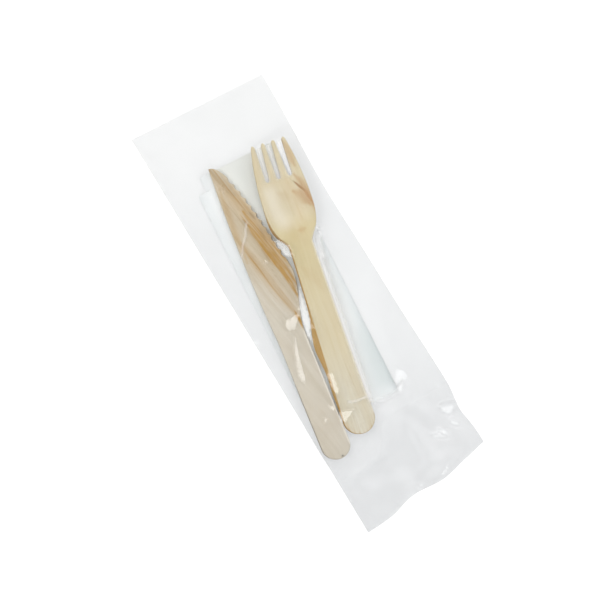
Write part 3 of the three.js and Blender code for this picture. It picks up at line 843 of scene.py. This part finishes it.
# Facets of crumpled film, each of which mirrors a soft box: its outline and that box
KEY, LOW, LEFT = "key", "low", "left"
FACETS = [
    ([(-9.7, -3.8), (-18.4, -4.1), (-19.9, -5.7), (-19.0, -9.3), (-16.0, -10.1), (-13.6, -7.0)], LOW),
    (
        [(-18.3, -13.2), (-17.6, -13.3), (-19.6, -17.6), (-22.0, -23.3), (-23.6, -28), (-23.8, -32.3)]
        + [(-26.3, -35.8), (-27.4, -33.4), (-26.0, -28.6), (-24.5, -24.6), (-21.8, -18.2)],
        KEY,
    ),
    ([(-21.7, -52.7), (-20.0, -53.7), (-19.0, -57.9), (-19.6, -60.6), (-20.6, -58.0)], LEFT),
    ([(-18.9, -57.7), (-11.9, -60.9), (-16.3, -63.6), (-19.5, -63.7), (-20.2, -61.2)], LOW),
    ([(-26.9, -56.7), (-25.9, -58.5), (-28.5, -59.4)], LOW),
    ([(-13.4, -37.5), (-11.7, -39.1), (-13.3, -47.7), (-15.1, -49.8), (-16.2, -46.9), (-15.0, -41.6)], LEFT),
    ([(18.3, -54.3), (21.2, -59.5), (21.5, -61.2), (17.2, -62.1), (13.4, -62.4), (14.3, -59.0)], KEY),
    ([(17.0, -62.8), (15.6, -64.8), (13.2, -66.4), (12.8, -64.4), (13.4, -62.9)], KEY),
    ([(27.5, -83.4), (34.8, -86.4), (29.4, -90.0), (28.5, -88.5)], LOW),
    ([(16.6, -93.8), (19.3, -96.2), (23.5, -98.4), (22.4, -99.0), (18.0, -96.7)], LOW),
    ([(20.8, -93.0), (24.4, -96.6), (23.5, -97.3), (20.1, -94.5)], KEY),
    ([(29.0, -92.5), (31.6, -95.6), (30.1, -96.8), (28.1, -94.8)], LOW),
    ([(31.2, -73.5), (33, -73), (32.6, -75)], KEY),
    ([(-37.6, -4.6), (-36, -4.4), (-36.2, -7), (-37.4, -7)], LEFT),
    ([(-3.6, -112.8), (-1.4, -112.8), (-2.4, -114.6)], LOW),
    ([(11.4, -113.4), (13.8, -113.2), (12.6, -115)], KEY),
    ([(12.4, 110.6), (14, 110.4), (13.4, 111.4)], LEFT),
    ([(-12.3, 27.4), (-10.8, 27.4), (-11.2, 29.4)], KEY),
    ([(-11.9, 70.6), (-11.1, 70.6), (-10.2, 73.6), (-10.9, 73.8)], KEY),
    (
        [(-3.5, 7.7), (-4.0, 3.9), (-6.8, -9.1), (-7.8, -14.6), (-11.8, -11.6), (-9.7, -4.3), (-6.3, 3.8)],
        LEFT,
    ),
    ([(-7.7, -0.6), (-8.2, -4.8), (-10.6, -15.7), (-12.2, -21.4), (-12.6, -15.0), (-10.9, -8.6)], LEFT),
    ([(-2.2, 35), (1.6, 32.6), (3.6, 28.4), (1.8, 21.5), (-1.2, 25.4)], LEFT),
]
FACET_SLOPE, FACET_REACH, FACET_RIM, FACET_HEIGHT = 1.3, 4, 0.7, 5.0
FOLD_SLOPE, WELD_SLOPE, WELD_FOOT = 0.3, 0.26, 3

# The film's height: draped, slack and creased, and low at the folds and the weld
height = np.maximum(softened(drape, 30), slack) + sum(ridges)
height = np.maximum(height, floor_height)
flat = FILM + SEAM
rise = np.minimum(FOLD_SLOPE * to_fold, WELD_SLOPE * np.maximum(0, weld - Y - WELD_FOOT))
height = np.minimum(height, flat + rise)
height = np.maximum(softened(np.maximum(height, steep), 2), floor_height)

# Sharper gloss on the empty lower film and on the facets, which tilt to their boxes
shine = 0.75 * (1 - smoothstep(Y + 86 - 16 * smoothstep(X, -14, 0), -8, 0))
for points, lit in FACETS:
    ring = np.array(points) + SHIFT
    within = inside(ring, X, Y) | (along_path(np.vstack((ring, ring[:1])), X, Y)[0] < FACET_RIM)
    shine[within] = 1 if floor_height[within].max() > 2.5 else 0.4
    middle = np.array((*ring.mean(0), FACET_HEIGHT))
    to_eye, to_box = EYE - middle, box_place(lit) / MM - middle
    half = to_eye / np.linalg.norm(to_eye) + to_box / np.linalg.norm(to_box)
    plane = -(half[0] * (X - middle[0]) + half[1] * (Y - middle[1])) / half[2]
    level = max((floor_height - plane)[within].max(), np.median((height - plane)[within]))
    raised = coned(np.where(within, level + plane, BELOW_ALL), FACET_SLOPE, FACET_REACH)
    cap = -coned(np.where(within, -level - plane, BELOW_ALL), FACET_SLOPE, FACET_REACH)
    height = np.maximum(np.minimum(np.maximum(height, raised), cap), floor_height)
height = np.maximum(height, flat)
height = np.where(weld - Y < WELD_WIDE, flat, height)

# Pale lines on the film: points, half width and strength, and below the share of length over which they fade
LINES = [
    ([(-8.5, 51), (-11.6, 47.6), (-13, 44.9), (-17.2, 41.2), (-19.6, 37.4), (-22.5, 34.5)], 0.42, 0.2),
    ([(-13, -56), (-9, -58), (-3, -58.9), (0, -64)], 0.5, 0.22),
    ([(-0.3, -63.2), (5.8, -65.1), (10.3, -65.2), (15.6, -63.9), (18.2, -60)], 1.1, 0.17),
]

# Painted light over the shaded slots between the tines, and along the shaded right of the neck and handle, in
# the fork's own frame
SLOT_PAINTED_LIGHT = [
    ([(root, 137.8), (end, 158.5)], 1.3, 0.28)
    for root, end in ((SLOT_PITCH, 5.5), (0, 0), (-SLOT_PITCH, -5.5))
]
HANDLE_PAINTED_LIGHT = [
    ([(7.6, 104.5), (7.4, 98), (7.5, 80), (7.8, 60), (8.1, 40), (8.5, 20), (8.7, 11)], 1.15, 0.36),
    ([(11, 107.5), (9.4, 104.5), (8.2, 100), (7.8, 92)], 1.7, 0.42),
    ([(11.6, 110), (9.2, 106.6), (7.3, 103.7), (7.2, 100), (7.4, 95)], 0.9, 0.42),
]
milk_and_painted_light = np.zeros(X.shape)
for group, x, y, shift, fade in (
    (LINES, X, Y, SHIFT, 0.08),
    (SLOT_PAINTED_LIGHT, fork_x, fork_y, 0, 0.1),
    (HANDLE_PAINTED_LIGHT, fork_x, fork_y, 0, 0.08),
):
    for points, half, strength in group:
        away, along = along_path(np.array(points) + shift, x, y)
        shown = strength * bell(away, half) * smoothstep(along * (1 - along), 0, fade)
        milk_and_painted_light = np.maximum(milk_and_painted_light, shown)

# The sleeve's wall: outer and inner front, joined to a flat back at the folds, the weld and the mouth
columns = COLUMNS + 1
inner_rows = ROWS - WELD_ROWS
Xi = X.copy()
Xi[:, 0] += FILM
Xi[:, -1] -= FILM
outer = np.stack((X, Y, height + FILM), -1)
inner = np.stack((Xi, Y, height), -1)[: inner_rows + 1]
milk_and_painted_light_all = [milk_and_painted_light.ravel(), milk_and_painted_light[: inner_rows + 1].ravel()]
shine_all = [shine.ravel(), shine[: inner_rows + 1].ravel()]
corners = [outer.reshape(-1, 3), inner.reshape(-1, 3)]
outer_top = np.arange((ROWS + 1) * columns).reshape(ROWS + 1, columns)
inner_top = outer_top.size + np.arange((inner_rows + 1) * columns).reshape(inner_rows + 1, columns)
total = outer_top.size + inner_top.size


# Copies the rim of a front panel down to a level, and returns its corner numbers where it has any
def back_rim(front, source, level):
    global total
    rows, wide = front.shape
    used = np.zeros((rows, wide), bool)
    used[0] = used[-1] = used[:, 0] = used[:, -1] = True
    number = np.full((rows, wide), -1)
    number[used] = total + np.arange(used.sum())
    total += used.sum()
    flat = source[used].copy()
    flat[:, 2] = level
    corners.append(flat)
    milk_and_painted_light_all.append(np.zeros(used.sum()))
    shine_all.append(np.zeros(used.sum()))
    return number


outer_back = back_rim(outer_top, outer, 0)
inner_back = back_rim(inner_top, inner, FILM)


# Faces between two rows of corners
def quads(a, b):
    return np.column_stack((a[:-1], a[1:], b[1:], b[:-1])).tolist()


def lattice(grid):
    return [face for a, b in zip(grid, grid[1:]) for face in quads(a, b)]


# The flat back: wide faces from fold to fold, and one at each end that takes up the rim's corners
def panel(grid):
    last = len(grid) - 1
    first = 6
    right_side = [grid[k, -1] for k in range(1, first + 1)]
    left_side = [grid[k, 0] for k in range(first, 0, -1)]
    made = [list(grid[0]) + right_side + left_side]
    for k in range(first, last - 1):
        made.append([grid[k, 0], grid[k, -1], grid[k + 1, -1], grid[k + 1, 0]])
    made.append([grid[last - 1, 0], grid[last - 1, -1]] + list(grid[last][::-1]))
    return made


def flipped(some):
    return [face[::-1] for face in some]


faces = lattice(outer_top) + flipped(panel(outer_back))
faces += flipped(lattice(inner_top)) + panel(inner_back)
faces += quads(outer_top[:, 0], outer_back[:, 0]) + flipped(quads(outer_top[:, -1], outer_back[:, -1]))
faces += flipped(quads(inner_top[:, 0], inner_back[:, 0])) + quads(inner_top[:, -1], inner_back[:, -1])
faces += quads(outer_top[-1], outer_back[-1]) + flipped(quads(inner_top[-1], inner_back[-1]))
outer_lip = np.concatenate((outer_top[0], outer_back[0][::-1], outer_top[0][:1]))
inner_lip = np.concatenate((inner_top[0], inner_back[0][::-1], inner_top[0][:1]))
faces += flipped(quads(outer_lip, inner_lip))
faces = [[int(k) for k in face] for face in faces]
# The crease attribute holds the milkiness of creases and the painted light over the fork
drawn = {"crease": np.concatenate(milk_and_painted_light_all), "facet": np.concatenate(shine_all)}
film = make_object("film_pouch", np.vstack(corners), faces, drawn)
film.data.set_sharp_from_angle(angle=math.radians(60))
film.data.materials.append(clear_film("clear_film"))
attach(film, "root")
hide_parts("film_sleeve")

# Floor: bright to the eye, and still dark where something stands between it and the light
FLOOR_HALF, FLOOR_LEVEL, FLOOR_GLOW, FLOOR_GREY = 6.0, -0.0002, 0.62, (0.45, 0.45, 0.45, 1)
floor_mesh = bpy.data.meshes.new("floor")
square = [(-1, -1), (1, -1), (1, 1), (-1, 1)]
floor_mesh.from_pydata([(FLOOR_HALF * a, FLOOR_HALF * b, FLOOR_LEVEL) for a, b in square], [], [(0, 1, 2, 3)])
floor = bpy.data.objects.new("floor", floor_mesh)
bpy.context.scene.collection.objects.link(floor)
material, tree, output = new_material("floor")
path = add_node(tree, "LightPath")
shown = calc(tree, "ADD", path.outputs["Is Camera Ray"], path.outputs["Is Glossy Ray"], True)
shown = calc(tree, "ADD", shown, path.outputs["Is Transmission Ray"], True)
glow = add_node(tree, "Emission", {"Strength": calc(tree, "MULTIPLY", shown, FLOOR_GLOW)}).outputs[0]
matt = add_node(tree, "BsdfDiffuse", {"Color": FLOOR_GREY}).outputs[0]
both = add_node(tree, "AddShader", {0: matt, 1: glow}).outputs[0]
tree.links.new(both, output.inputs[0])
floor.data.materials.append(material)

# The photograph's upward direction, in the part's frame
TURN = math.radians(31.1)
UP = Vector((math.sin(TURN), math.cos(TURN), 0))

# Sky: brighter towards the photograph's upper edge, with a pale ring that is stronger on the left
world = bpy.data.worlds.new("sky")
bpy.context.scene.world = world
world.use_nodes = True
tree = world.node_tree
tree.nodes.clear()
way = add_node(tree, "TexCoord").outputs["Generated"]
rise = add_node(tree, "VectorMath", {0: way, 1: UP}, operation="DOT_PRODUCT").outputs["Value"]
split = add_node(tree, "SeparateXYZ", {0: way})
aside, lift = split.outputs[0], split.outputs[2]
tilt = spread(tree, rise, 0.0, 1.3, -0.22, 0.22)
bright = calc(tree, "MULTIPLY", ramp(tree, lift, 0.55, 0.93), tilt)
bright = calc(tree, "ADD", bright, 0.15)
below_top = calc(tree, "SUBTRACT", 1.0, ramp(tree, lift, 0.87, 0.96))
ring = calc(tree, "MULTIPLY", ramp(tree, lift, 0.6, 0.74), below_top)
ring = calc(tree, "MULTIPLY", ring, spread(tree, aside, 0.72, 0.4, -0.5, 0.5))
bright = calc(tree, "ADD", bright, ring)
sky = add_node(tree, "Background", {"Color": (1, 1, 1, 1), "Strength": bright}).outputs[0]
tree.links.new(sky, add_node(tree, "OutputWorld").inputs[0])

# Lamps, all but the top one of which the film mirrors
for name, (_, _, _, width, length, power) in BOXES.items():
    light = bpy.data.lights.new(name, "AREA")
    light.shape = "RECTANGLE"
    light.size, light.size_y, light.energy = width, length, power
    lamp = bpy.data.objects.new(name, light)
    lamp.location = box_place(name)
    lamp.visible_glossy = name != "top"
    lamp.rotation_euler = lamp.location.to_track_quat("Z", "Y").to_euler()
    bpy.context.scene.collection.objects.link(lamp)

# Camera, straight above, turned as the photograph is
camera = bpy.data.cameras.new("camera")
camera.lens, camera.sensor_width = LENS, SENSOR
viewer = bpy.data.objects.new("camera", camera)
viewer.location = EYE * MM
viewer.rotation_euler = (0, 0, -TURN)
bpy.context.scene.collection.objects.link(viewer)
bpy.context.scene.camera = viewer
bpy.context.scene.view_settings.view_transform = "Standard"
